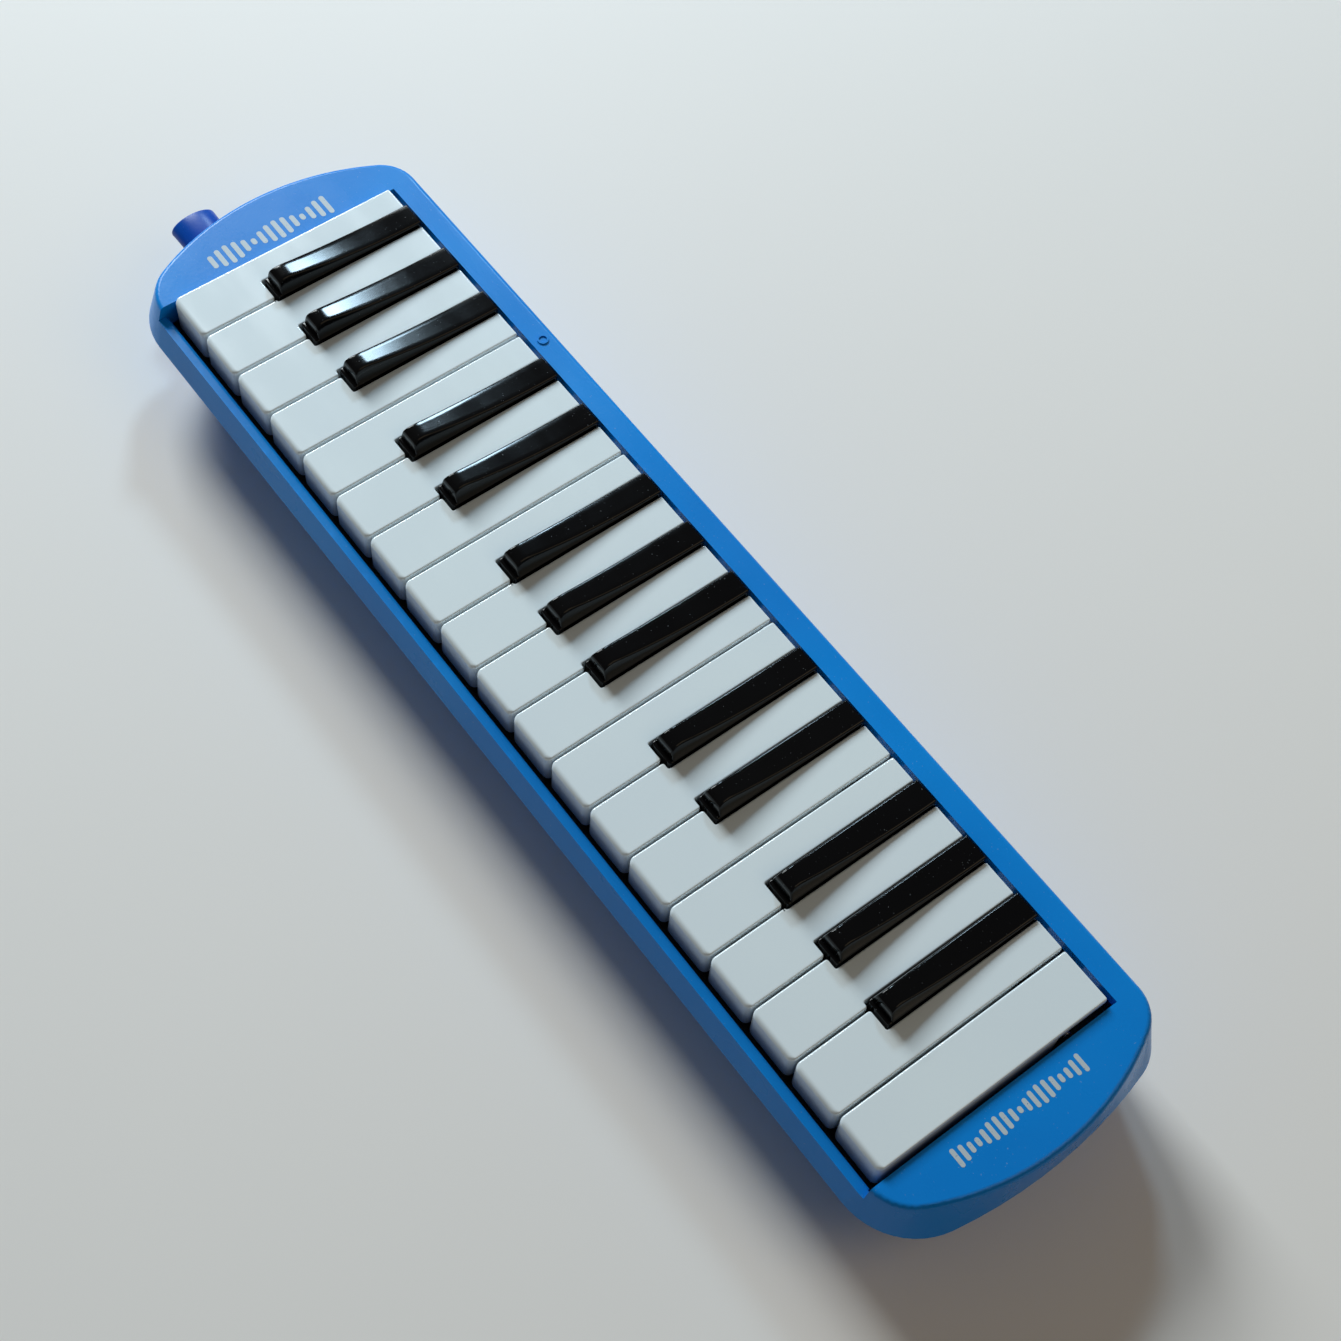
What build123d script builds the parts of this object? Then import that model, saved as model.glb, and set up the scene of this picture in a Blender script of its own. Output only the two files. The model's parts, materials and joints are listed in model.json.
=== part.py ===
from build123d import *
import os
from math import asin, cos, pi, sin

# A 32-key melodica: a blown free-reed keyboard in a two-part moulded body.
# It is drawn with x from the left end of the keyboard, y from the fronts of the white keys and z from the
# table. write() then moves every piece, so that the origin lies on the table under the middle of the whole.

# Keyboard
white_count = 19
pitch = 20.0
keyboard = white_count * pitch
key_gap = 1.0
white_length = 88.4
black_width = 9.6
black_front = 29.8
black_clear = 0.5
notch_front = black_front - 0.8
first_octave = {1: -4.0, 2: -0.6, 3: 2.9, 5: -2.1, 6: 1.4}  # gap after this white key: shift of the black key
whites_per_octave = 7

# Heights above the table
foot_height = 1.2
floor_top = 3.6
parting = 28.0
rail_top = 37.0
rim_top = 42.5
key_top = 45.0
black_top = 51.8
key_bottom = 32.0
key_plate = 42.6
wall = 2.4

# Body outline: how far it reaches past the keyboard's ends, its front and rear, the radius of its bowed ends
# and the radii of its front and rear corners
rim_line = dict(reach=25.3, front=-4.6, rear=100.2, bow=92.0, corners=(17.0, 14.0))
part_line = dict(reach=26.0, front=-9.3, rear=101.0, bow=170.0, corners=(26.0, 17.0))
base_line = dict(reach=10.5, front=6.8, rear=97.6, bow=150.0, corners=(20.0, 17.0))
window_left, window_right, window_rear = -0.4, 381.3, 91.0
rail_rear = -2.6

# Key levers
pivot_y, pivot_z = 74.5, 36.0
shaft_radius = 1.5
hub_clearance = 0.05
hub_radius = 4.2
lever_width = 7.0
skirt_rear = 69.0
lever_rear = 92.6
pad_front, pad_rear = 79.6, 91.6
pad_top = 29.0
pad_gap = 0.05

# Air chamber
block_top, block_bottom = 26.6, 20.6
gasket_bottom = 19.6
cover_bottom = 9.5
chamber_left, chamber_right = -3.0, keyboard + 3.0
chamber_front, chamber_rear = 42.0, 93.5
channel_top = 24.6
spring_y = 62.0
ear_places = [(x, chamber_front - 2.0) for x in (15, 105, 190, 275, 365)]
ear_places += [(chamber_left - 3.2, 84.0), (chamber_right + 3.2, 84.0), (chamber_right + 3.2, 50.0)]

# Plate under the keys' fronts
bed_bottom, bed_top = 22.4, 24.4

# Mouthpiece socket, an oval tube on the parting plane
socket_y, socket_z = 29.3, parting
socket_end = -39.0
collar = (8.7, 4.8)
neck = (8.0, 4.0)
bore = (7.1, 3.5)
flange = (9.4, 5.8)
duct_end = -16.5

# Drain valve
drain_x, drain_y = 350.0, 68.0

depth = part_line["rear"] - part_line["front"]
total = keyboard + part_line["reach"] - socket_end
shift = Pos(-total / 2 - socket_end, -depth / 2 - part_line["front"], 0)


def write(name, *solids):
    """Moves one piece's solids to the part's origin and writes them as one file."""
    moved = [shift * solid for item in solids for solid in item.solids()]
    export_step(moved[0] if len(moved) == 1 else Compound(children=moved), f"parts/{name}.step")


def slab(x0, x1, y0, y1, z0, z1):
    """Box between two corners."""
    return Pos((x0 + x1) / 2, (y0 + y1) / 2, (z0 + z1) / 2) * Box(x1 - x0, y1 - y0, z1 - z0)


def post(x, y, z0, z1, radius):
    """Upright round bar."""
    return Pos(x, y, (z0 + z1) / 2) * Cylinder(radius, z1 - z0)


def bar(x0, x1, y, z, radius):
    """Round bar along x."""
    return Pos((x0 + x1) / 2, y, z) * Rot(0, 90, 0) * Cylinder(radius, x1 - x0)


def oval(x0, x1, radii):
    """Oval bar along x, on the socket's axis."""
    return extrude(Plane.YZ.offset(x0) * Pos(socket_y, socket_z) * Ellipse(*radii), amount=x1 - x0)


def side_view(points, x0, x1):
    """Straight-edged outline in y and z, thickened along x."""
    return extrude(Plane.YZ.offset(x0) * Polygon(*points, align=None), amount=x1 - x0, dir=(1, 0, 0))


def outline(height, reach, front, rear, bow, corners, inset=0.0):
    """Plan of the body at one height: straight front and rear, bowed ends, round front and rear corners."""
    reach, front, rear, bow = reach - inset, front + inset, rear - inset, bow - inset
    middle, half = (front + rear) / 2, (rear - front) / 2
    front_corner, rear_corner = [corner - inset for corner in corners]
    front_turn = asin((half - front_corner) / (bow - front_corner))
    rear_turn = asin((half - rear_corner) / (bow - rear_corner))
    bow_x = keyboard / 2 + reach - bow
    front_x = bow_x + (bow - front_corner) * cos(front_turn)
    rear_x = bow_x + (bow - rear_corner) * cos(rear_turn)

    def arc(side, x, y, radius, start, end):
        spots = [
            (keyboard / 2 + side * (x + radius * cos(a)), middle + y + radius * sin(a), height)
            for a in (start, (start + end) / 2, end)
        ]
        return ThreePointArc(*spots)

    edges = []
    for side in (1, -1):
        edges += [
            arc(side, front_x, front_corner - half, front_corner, -pi / 2, -front_turn),
            arc(side, bow_x, 0, bow, -front_turn, rear_turn),
            arc(side, rear_x, half - rear_corner, rear_corner, rear_turn, pi / 2),
        ]
    for y, x in ((rear, rear_x), (front, front_x)):
        edges.append(Line((keyboard / 2 - x, y, height), (keyboard / 2 + x, y, height)))
    return Face(Wire(edges))


def black_keys():
    """Middle of each black key, in order."""
    places = {}
    for after in range(1, white_count):
        step = first_octave.get((after - 1) % whites_per_octave + 1)
        if step is not None:
            places[after] = after * pitch + step
    return places


def white_rear(number, blacks):
    """Left and right edges of a white key behind the black keys' fronts."""
    left, right = (number - 1) * pitch + key_gap / 2, number * pitch - key_gap / 2
    if number - 1 in blacks:
        left = blacks[number - 1] + black_width / 2 + black_clear
    if number in blacks:
        right = blacks[number] - black_width / 2 - black_clear
    return left, right


def lever(middle):
    """Web under the key, with the hub that turns on the shaft and the arm that carries the pad."""
    x0, x1 = middle - lever_width / 2, middle + lever_width / 2
    web = side_view(
        [
            (skirt_rear - 4, key_plate + 0.2),
            (white_length, key_plate + 0.2),
            (white_length, pivot_z - 0.8),
            (lever_rear, pivot_z - 0.8),
            (lever_rear, pad_top),
            (pad_front - 1, pad_top),
            (pivot_y, pivot_z - hub_radius),
            (skirt_rear - 4, key_bottom + 2),
        ],
        x0,
        x1,
    )
    hub = bar(x0, x1, pivot_y, pivot_z, hub_radius)
    return web + hub - bar(x0 - 1, x1 + 1, pivot_y, pivot_z, shaft_radius + hub_clearance)


def pad(middle):
    """Soft pad that closes the air slot."""
    return slab(middle - 3.2, middle + 3.2, pad_front, pad_rear, block_top + pad_gap, pad_top)


def white_key(number, blacks):
    """Hollow white key with its lever, and the pad as a second solid."""
    x0, x1 = (number - 1) * pitch + key_gap / 2, number * pitch - key_gap / 2
    r0, r1 = white_rear(number, blacks)
    side, front_wall = 1.6, 1.8
    plan = slab(x0, x1, 0, notch_front, key_bottom, key_top)
    plan += slab(r0, r1, notch_front - 1, white_length, key_bottom, key_top)
    uprights = [e for e in plan.edges().filter_by(Axis.Z) if e.center().Y < 1]
    plan = fillet(uprights, 2.2)
    nose = [e for e in plan.edges().group_by(Axis.Z)[-1] if e.center().Y < 2.3]
    plan = fillet(nose, 1.6)
    plan -= slab(x0 + side, x1 - side, front_wall, notch_front - side, key_bottom - 1, key_plate)
    plan -= slab(r0 + side, r1 - side, notch_front - side - 1, skirt_rear, key_bottom - 1, key_plate)
    plan -= slab(r0 - 1, r1 + 1, skirt_rear, white_length + 1, key_bottom - 1, key_plate)
    middle = (r0 + r1) / 2
    return plan + lever(middle), pad(middle)


def black_key(middle):
    """Hollow black key, high at its nose and sinking to the rear in a hollow curve."""
    half, top_half, toe = black_width / 2, 3.1, 1.0
    nose_y, crease = black_front + 1.4, key_top + 3.4
    crown_y, waist_y, waist, tail = black_front + 5.6, 60.0, key_top + 3.2, key_top + 1.8
    profile = Polyline(
        (crown_y, black_top),
        (nose_y + 1.2, black_top - 1.1),
        (nose_y, crease),
        (nose_y - 0.2, key_top + toe),
        (black_front, key_top + toe),
        (black_front, key_bottom),
        (white_length, key_bottom),
        (white_length, tail),
    )
    back = ThreePointArc((white_length, tail), (waist_y, waist), (crown_y, black_top))
    outer = make_face(profile.edges() + back.edges())
    body = extrude(Plane.YZ.offset(middle - half) * outer, amount=2 * half, dir=(1, 0, 0))
    across = Polygon(
        (middle - half, key_bottom - 1),
        (middle + half, key_bottom - 1),
        (middle + half, key_top + toe),
        (middle + top_half, black_top),
        (middle - top_half, black_top),
        (middle - half, key_top + toe),
        align=None,
    )
    body &= extrude(Plane.XZ * across, amount=white_length + 1, dir=(0, 1, 0))
    hollow = half - 1.6
    body -= slab(middle - hollow, middle + hollow, black_front + 2, skirt_rear, key_bottom - 1, key_top - 1)
    body -= slab(middle - half, middle + half, skirt_rear, white_length + 1, key_bottom - 1, key_plate)
    return body + lever(middle), pad(middle)


def end_screws():
    """Screw places in the two end caps, then under the keyboard, each with the height it clamps at."""
    ends = [(-9.0, 9.0), (-12.0, 76.0), (keyboard + 9.0, 9.0), (keyboard + 12.0, 76.0)]
    return ends, [(pitch * (n - 0.5), 22.0) for n in (5, 10, 15)]


def screw(x, y, z0, z1, head_radius, shank_radius, head=2.0):
    """Pan-headed screw, head down."""
    return post(x, y, z0, z0 + head, head_radius) + post(x, y, z0 + head, z1, shank_radius)


def upper_case():
    """Top shell: end caps, rear rim and front rail round the keyboard's window."""
    shell = loft([outline(parting, **part_line), outline(rim_top, **rim_line)], ruled=True)
    shell = fillet(shell.edges().group_by(Axis.Z)[-1], 2.0)
    hollow = loft(
        [
            outline(parting - 0.01, **part_line, inset=wall),
            outline(rim_top - wall, **{**rim_line, "front": -5.0, "reach": 24.7}, inset=wall),
        ],
        ruled=True,
    )
    shell -= hollow
    shell += slab(0, keyboard, -5.7, rail_rear, rail_top - 4.5, rail_top)
    for x0 in (window_left - 2.0, window_right):
        shell += slab(x0, x0 + 2.0, -4.4, window_rear + 2, rail_top - 4.5, rim_top - 1)
    shell += slab(window_left - 2, window_right + 2, window_rear, window_rear + 2, rim_top - 4, rim_top - 1)
    shell -= slab(window_left, window_right, rail_rear, window_rear, rail_top - 8, rim_top + 1)
    shell -= slab(window_left, window_right, rail_rear - 8, rail_rear + 1, rail_top, rim_top + 1)
    rail = [
        e
        for e in shell.edges().filter_by(Axis.X)
        if abs(e.center().Z - rail_top) < 0.01 and e.center().Y < 0 and e.length > keyboard / 2
    ]
    shell = fillet(rail, 1.5)
    for x, y in end_screws()[0]:
        shell += post(x, y, parting + 0.2, rim_top - 1, 3.4)
        shell -= post(x, y, parting - 1, rim_top - 4, 1.2)
    shell -= oval(-32, -18, (neck[0] + 0.1, neck[1] + 0.1))
    ring = post(85, (window_rear + rim_line["rear"]) / 2 - 0.4, rim_top - 0.5, rim_top + 0.5, 2.0)
    ring -= post(85, (window_rear + rim_line["rear"]) / 2 - 0.4, rim_top - 0.5, rim_top + 0.5, 1.4)
    return shell + ring


def lower_case():
    """Tray under the body, rounded where its walls meet its floor."""
    outer = loft([outline(foot_height, **base_line), outline(parting, **part_line)], ruled=True)
    outer = fillet(outer.edges().group_by(Axis.Z)[0], 8.0)
    floor_plan = outline(floor_top, **base_line, inset=wall)
    mouth_plan = outline(parting + 0.01, **part_line, inset=wall)
    hollow = loft([floor_plan, mouth_plan], ruled=True)
    tray = outer - fillet(hollow.edges().group_by(Axis.Z)[0], 6.0)
    ends, middles = end_screws()
    for places, top in ((ends, parting), (middles, bed_bottom)):
        for x, y in places:
            tray += post(x, y, floor_top - 0.5, top, 4.6) & outer
            tray -= post(x, y, 0, top - 6, 3.1) + post(x, y, 0, top + 1, 1.4)
    for x in (60, 190, 320):
        for y in (50, 86):
            tray += post(x, y, floor_top - 0.5, cover_bottom, 3.0)
    tray -= post(drain_x, drain_y, 0, floor_top + 1, 5.4)
    return tray - oval(-32, -18, (neck[0] + 0.1, neck[1] + 0.1))


def lever_middles(blacks):
    """Middle of every key's lever, from the lowest note to the highest."""
    whites = [sum(white_rear(n, blacks)) / 2 for n in range(1, white_count + 1)]
    return sorted(whites + list(blacks.values()))


def reed_block(middles):
    """Top of the air chamber: a channel and an air slot for each key, and the shaft's supports."""
    block = slab(chamber_left, chamber_right, chamber_front, chamber_rear, block_bottom, block_top)
    for x, y in ear_places:
        block += slab(x - 3.5, x + 3.5, y - 2.4, y + 2.4, block_bottom, block_top)
    supports = [(1.0, 1.4), (377.5, 1.6)] + [(n * pitch, 3.0) for n in (4, 7, 11, 14, 18)]
    for x, width in supports:
        block += slab(x - width / 2, x + width / 2, pivot_y - 3.5, pivot_y + 3.5, block_top, pivot_z + 3.5)
    block -= bar(chamber_left, chamber_right, pivot_y, pivot_z, shaft_radius + 0.02)
    for x in middles:
        block -= slab(x - 2.6, x + 2.6, 46, 91, block_bottom - 1, channel_top)
        block -= slab(x - 1.9, x + 1.9, 81, 90.4, channel_top - 1, block_top + 1)
    for x, y in plate_screw_places(middles):
        block -= post(x, y, block_bottom - 1, block_bottom + 3, 0.85)
    for x, y in ear_places:
        block -= post(x, y, block_bottom - 1, block_top - 1, 1.0)
    return block


def plate_screw_places(middles):
    """Screws of the reed plates, between channels, near the plates' front and rear edges."""
    gaps = [(middles[n] + middles[n + 1]) / 2 for n in (0, 5, 10, 14, 16, 20, 25, 30)]
    return [(x, y) for x in gaps for y in (47.0, 89.0)]


def reed_length(number):
    """Tongues get shorter from the lowest note to the highest."""
    return 36.0 - 0.62 * number


def reed_plate(middles, first, x0, x1):
    """Brass plate with one slot for each tongue."""
    plate = slab(x0, x1, 44.6, 91.4, gasket_bottom, block_bottom)
    for number, x in enumerate(middles[first : first + 16], first):
        plate -= slab(x - 1.4, x + 1.4, 50, 50 + reed_length(number), gasket_bottom - 1, block_bottom + 1)
    for x, y in plate_screw_places(middles):
        if x0 < x < x1:
            plate -= post(x, y, gasket_bottom - 1, block_bottom + 1, 0.85)
    return plate


def reeds(middles, first):
    """Sixteen tongues, each with its riveted root."""
    tongues = []
    for number, x in enumerate(middles[first : first + 16], first):
        tongue = slab(x - 1.2, x + 1.2, 46, 49.8 + reed_length(number), gasket_bottom - 0.3, gasket_bottom)
        tongues.append(tongue + slab(x - 1.8, x + 1.8, 46, 49.5, gasket_bottom - 0.9, gasket_bottom - 0.3))
    return tongues


def chamber_cover():
    """Tray that closes the air chamber from below, round at its rear corners like the case."""
    wall_inset, round_corner = 2.0, 5.0
    cover = slab(chamber_left, chamber_right, chamber_front, chamber_rear, cover_bottom, gasket_bottom)
    cover = fillet(cover.edges().filter_by(Axis.Z).group_by(Axis.Y)[-1], round_corner)
    cavity = slab(
        chamber_left + wall_inset,
        chamber_right - wall_inset,
        chamber_front + wall_inset,
        chamber_rear - wall_inset,
        cover_bottom + wall_inset,
        gasket_bottom + 1,
    )
    cavity = fillet(cavity.edges().filter_by(Axis.Z).group_by(Axis.Y)[-1], round_corner - wall_inset)
    for x, y in ear_places:
        cover += slab(x - 3.5, x + 3.5, y - 2.4, y + 2.4, gasket_bottom - 4, gasket_bottom)
        cover -= post(x, y, gasket_bottom - 5, gasket_bottom + 1, 1.2)
    cover -= cavity
    cover -= slab(chamber_left - 1, chamber_left + 3, 45, 56, 13, 18)
    return cover - post(drain_x, drain_y, cover_bottom - 1, cover_bottom + 3, 2.6)


def chamber_gasket():
    """Rubber frame between the block and the cover."""
    frame = slab(chamber_left, chamber_right, chamber_front, chamber_rear, gasket_bottom, block_bottom)
    for x, y in ear_places:
        frame += slab(x - 3.5, x + 3.5, y - 2.4, y + 2.4, gasket_bottom, block_bottom)
        frame -= post(x, y, gasket_bottom - 1, block_bottom + 1, 1.2)
    return frame - slab(-0.5, keyboard + 0.5, 44.2, 91.8, gasket_bottom - 1, block_bottom + 1)


def inlet_duct():
    """Box that leads the breath from the socket down into the chamber."""
    box = slab(duct_end, chamber_left, 20.0, 58.0, 21.5, 36.0)
    box += slab(-10.0, chamber_left, 43.0, 58.0, 12.0, 22.0)
    box -= slab(duct_end + 1.8, chamber_left - 1.8, 21.8, 56.2, 23.3, 34.2)
    box -= slab(-8.2, chamber_left - 1.8, 44.8, 56.2, 13.8, 24.0)
    box -= slab(chamber_left - 3, chamber_left + 1, 45, 56, 13.8, 18)
    return box - oval(duct_end - 1, duct_end + 2, bore)


def mouthpiece_socket():
    """Oval tube that takes the mouthpiece, with a flange behind the end wall."""
    tube = oval(socket_end, -27.2, collar)
    rim = tube.faces().sort_by(Axis.X)[0]
    tube = fillet(rim.edges(), 0.8)
    tube += oval(-28, duct_end - 0.1, neck) + oval(duct_end - 2.5, duct_end - 1.5, flange)
    return tube - oval(socket_end - 1, duct_end + 1, bore)


def key_bed():
    """Plate under the keys' fronts, with a rib for the black keys and a guide post for each white key."""
    bed = slab(-1.5, keyboard + 1.5, -2.0, 37.0, bed_bottom, bed_top)
    bed += slab(0, keyboard, 29.0, 35.0, bed_top, bed_top + 2.2)
    for number in range(1, white_count + 1):
        x = (number - 0.5) * pitch
        bed += slab(x - 0.8, x + 0.8, 13, 17, bed_top, key_bottom + 1)
    for x, y in end_screws()[1]:
        bed += post(x, y, bed_top, bed_top + 4, 3.2)
        bed -= post(x, y, bed_bottom - 1, bed_top + 3.5, 1.2)
    return bed


os.makedirs("parts", exist_ok=True)
blacks = black_keys()
middles = lever_middles(blacks)

write("upper_case", upper_case())
write("lower_case", lower_case())
write("mouthpiece_socket", mouthpiece_socket())
seal = oval(duct_end - 1.4, duct_end - 0.1, flange)
write("socket_seal", seal - oval(duct_end - 2, duct_end + 1, (neck[0] + 0.05, neck[1] + 0.05)))
write("inlet_duct", inlet_duct())

write("reed_block", reed_block(middles))
write("chamber_gasket", chamber_gasket())
write("chamber_cover", chamber_cover())
write("chamber_screws", *[screw(x, y, 13.55, block_top - 2, 1.9, 0.95) for x, y in ear_places])
write("reed_plate_low", reed_plate(middles, 0, 0, 189.4))
write("reed_plate_high", reed_plate(middles, 16, 190.0, keyboard))
write("reeds_low", *reeds(middles, 0))
write("reeds_high", *reeds(middles, 16))
reed_screw = screw(0, 0, gasket_bottom - 0.8, block_bottom + 2.8, 1.5, 0.8, 0.8)
write("reed_screws", *[Pos(x, y, 0) * reed_screw for x, y in plate_screw_places(middles)])

write("key_shaft", bar(-0.3, 379.4, pivot_y, pivot_z, shaft_radius))
shaft_hole = bar(-1, keyboard, pivot_y, pivot_z, shaft_radius)
write("shaft_clips", *[bar(x, x + 0.5, pivot_y, pivot_z, 3.2) - shaft_hole for x in (-0.25, 378.4)])
springs = [post(x, spring_y, block_top, key_plate, 2.2) - post(x, spring_y, 0, key_top, 1.5) for x in middles]
write("key_springs", *springs)

write("key_bed", key_bed())
write("white_key_felt", slab(0, keyboard, 1, 11, bed_top, bed_top + 2.0))
write("black_key_felt", slab(0, keyboard, 29.4, 34.6, bed_top + 2.2, bed_top + 3.8))

for number in range(1, white_count + 1):
    write(f"white_key_{number:02d}", *white_key(number, blacks))
for number, middle in enumerate(blacks.values(), 1):
    write(f"black_key_{number:02d}", *black_key(middle))

button = post(drain_x, drain_y, 1.6, 3.9, 5.0) + post(drain_x, drain_y, 3.9, 4.9, 6.6)
button += post(drain_x, drain_y, 4.9, 13.2, 1.5)
write("drain_button", button)
write("drain_seal", post(drain_x, drain_y, 11.55, 13.2, 4.4) - post(drain_x, drain_y, 11, 14, 1.5))
write("drain_spring", post(drain_x, drain_y, 4.9, cover_bottom, 4.2) - post(drain_x, drain_y, 4, 10, 3.4))

ends, middles_front = end_screws()
case_screws = [screw(x, y, parting - 8.05, rim_top - 6, 2.8, 1.15) for x, y in ends]
case_screws += [screw(x, y, bed_bottom - 8.05, bed_top + 3, 2.8, 1.15) for x, y in middles_front]
write("case_screws", *case_screws)
write("rubber_feet", *[post(x, y, 0, foot_height, 5.5) for x in (14, keyboard - 14) for y in (26, 74)])
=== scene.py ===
# %% [markdown]
# # A 32-key melodica
# A melodica is a small keyboard that is blown. The player's breath goes in at an oval socket on the left
# end. Each key lifts a pad off an air slot, and a steel reed sounds. The body is moulded plastic, so what
# makes it look real is soft edges, even gloss and the gaps between the keys. This lesson dresses the
# engineering model with those. It starts by loading that model.

# %% The frame
import json
from math import cos, pi, radians, sin

import bmesh
import bpy
import numpy as np
from mathutils import Matrix, Vector


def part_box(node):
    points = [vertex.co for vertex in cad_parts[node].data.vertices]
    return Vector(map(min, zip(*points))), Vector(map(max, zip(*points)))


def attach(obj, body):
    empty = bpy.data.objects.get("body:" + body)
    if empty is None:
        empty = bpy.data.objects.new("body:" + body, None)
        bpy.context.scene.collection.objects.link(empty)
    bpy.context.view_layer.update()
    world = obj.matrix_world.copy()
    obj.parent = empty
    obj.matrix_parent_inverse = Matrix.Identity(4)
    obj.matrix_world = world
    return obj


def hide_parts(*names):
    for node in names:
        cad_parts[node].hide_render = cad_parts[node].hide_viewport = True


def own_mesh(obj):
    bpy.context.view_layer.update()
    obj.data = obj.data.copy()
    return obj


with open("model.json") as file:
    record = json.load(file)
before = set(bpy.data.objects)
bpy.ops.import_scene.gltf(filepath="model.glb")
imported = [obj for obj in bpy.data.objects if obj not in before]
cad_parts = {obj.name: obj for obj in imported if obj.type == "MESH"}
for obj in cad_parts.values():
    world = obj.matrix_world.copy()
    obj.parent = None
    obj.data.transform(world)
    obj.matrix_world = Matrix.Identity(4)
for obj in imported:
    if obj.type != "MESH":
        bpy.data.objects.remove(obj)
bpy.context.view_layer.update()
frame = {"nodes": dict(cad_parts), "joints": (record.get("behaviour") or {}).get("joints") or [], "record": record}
mm = 0.001
joints = {joint["name"]: joint for joint in frame["joints"]}
whites = sorted(node for node in frame["nodes"] if node.startswith("white_key_") and node != "white_key_felt")
blacks = sorted(node for node in frame["nodes"] if node.startswith("black_key_") and node != "black_key_felt")
print(len(frame["nodes"]), "nodes,", len(whites), "white keys,", len(blacks), "black keys")

# %% [markdown]
# ## From arrays to a mesh
# Nearly every part here is a skin: a stack of closed loops with faces between one loop and the next. numpy
# works out all the points of a loop at once. One helper turns any stack into a mesh, and it checks the
# signed volume, so the faces always point outwards.


# %% Skins
def skin(loops, wrap=False):
    """Points and faces of a stack of equal closed loops. The ends are closed by one face each, or joined."""
    loops = np.asarray(loops, float)
    rows, count = loops.shape[:2]
    index = np.arange(rows * count).reshape(rows, count)
    below = index if wrap else index[:-1]
    above = np.roll(index, -1, 0) if wrap else index[1:]
    quads = np.stack([below, np.roll(below, -1, 1), np.roll(above, -1, 1), above], -1).reshape(-1, 4)
    points = loops.reshape(-1, 3)
    faces = quads.tolist()
    if not wrap:
        faces += [index[0][::-1].tolist(), index[-1].tolist()]
    # Signed volume: the sum of each face's fan of tetrahedra from the middle of all points.
    middle = points.mean(0)
    volume = 0.0
    for face in faces[len(quads):]:
        fan = points[face] - middle
        volume += np.einsum("ij,ij->i", np.cross(fan[0][None], fan[1:-1]), fan[2:]).sum()
    corner = points[quads] - middle
    volume += np.einsum("ij,ij->i", np.cross(corner[:, 0], corner[:, 1]), corner[:, 2]).sum()
    volume += np.einsum("ij,ij->i", np.cross(corner[:, 0], corner[:, 2]), corner[:, 3]).sum()
    if volume < 0:
        faces = [face[::-1] for face in faces]
    return points, faces


def piece(name, parts, body, replaced=(), crease=35.0):
    """One object from a list of (points, faces, material), smooth except at edges sharper than crease."""
    mesh = bpy.data.meshes.new(name)
    points, faces, owners, finishes = [], [], [], []
    for part_points, part_faces, material in parts:
        if material not in finishes:
            finishes.append(material)
        start = sum(len(p) for p in points)
        points.append(np.asarray(part_points))
        faces += [[start + i for i in face] for face in part_faces]
        owners += [finishes.index(material)] * len(part_faces)
    mesh.from_pydata(np.concatenate(points), [], faces)
    for material in finishes:
        mesh.materials.append(material)
    mesh.polygons.foreach_set("material_index", owners)
    mesh.polygons.foreach_set("use_smooth", [True] * len(faces))
    mesh.set_sharp_from_angle(angle=radians(crease))
    mesh.update()
    made = bpy.data.objects.new(name, mesh)
    bpy.context.scene.collection.objects.link(made)
    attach(made, body)
    if replaced:
        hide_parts(*replaced)
    return made


# %% [markdown]
# ## Shader sums
# A finish is a recipe of noise, sums and mixes. Written as a formula it reads better than as a web of
# nodes, so one small class wraps a socket and turns + and * into Math nodes.


# %% Finishes
class Val:
    """A number, colour or vector that varies over the surface. Sums and products are for numbers only."""

    def __init__(self, finish, socket):
        self.finish, self.socket = finish, socket

    def math(self, operation, first, second):
        """One Math node on two numbers or sockets."""
        made = self.finish.node("ShaderNodeMath", {"operation": operation}, {0: first, 1: second})
        return Val(self.finish, made.outputs[0])

    def __add__(self, other):
        return self.math("ADD", self, other)

    def __mul__(self, other):
        return self.math("MULTIPLY", self, other)

    __radd__ = __add__
    __rmul__ = __mul__

    def band(self, low, high):
        """0 below low, 1 above high, smooth between."""
        settings = {"interpolation_type": "SMOOTHSTEP"}
        values = {"Value": self, "From Min": low, "From Max": high}
        made = self.finish.node("ShaderNodeMapRange", settings, values)
        return Val(self.finish, made.outputs[0])


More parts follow.
